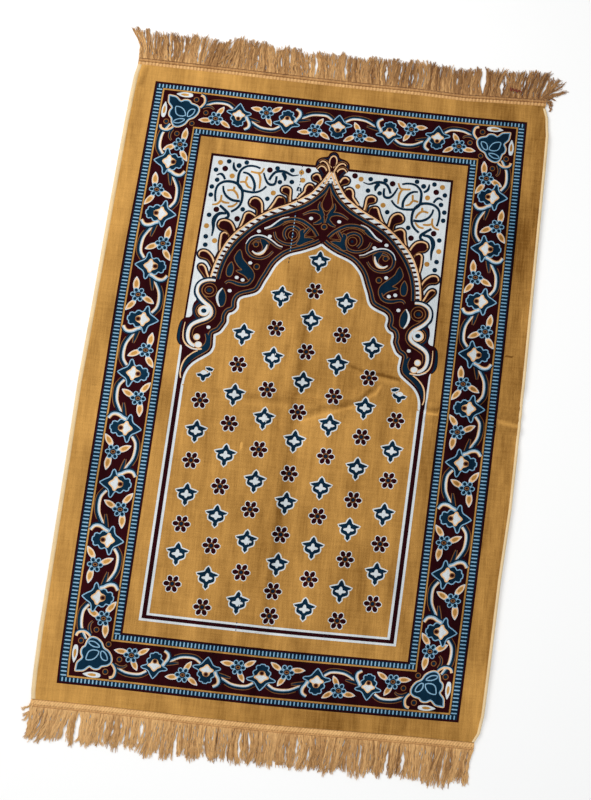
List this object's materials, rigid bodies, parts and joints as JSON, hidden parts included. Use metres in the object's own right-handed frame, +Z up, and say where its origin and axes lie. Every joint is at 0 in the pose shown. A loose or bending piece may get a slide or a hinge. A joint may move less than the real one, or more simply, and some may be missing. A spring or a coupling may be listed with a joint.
{
  "type": "prayer rug",
  "caption": "Flat rectangular prayer rug with an arched niche pattern, a vine border and a tan fringe across both short ends.",
  "frame": {"origin": "on the floor, under the middle of the rug with its fringes", "axes": "+Y along the rug's length, towards the point of the arch; +Z up out of the pile; +X to the right as seen from above with the arch's point away from the viewer"},
  "size_m": [0.7298, 1.1238, 0.0066],
  "materials": {
    "gold_pile": "short cut pile with a soft sheen",
    "maroon_pile": "short cut pile",
    "navy_pile": "short cut pile",
    "sky_pile": "short cut pile",
    "white_pile": "short cut pile",
    "peach_pile": "short cut pile",
    "brown_pile": "short cut pile",
    "hem_yarn": "overcast edge, matt",
    "ground_weave": "plain backing weave, matt",
    "fringe_yarn": "twisted yarn, matt"
  },
  "bodies": {
    "root": {"rug_cloth": "gold_pile", "fringe_top": "fringe_yarn", "fringe_bottom": "fringe_yarn"}
  },
  "joints": []
}
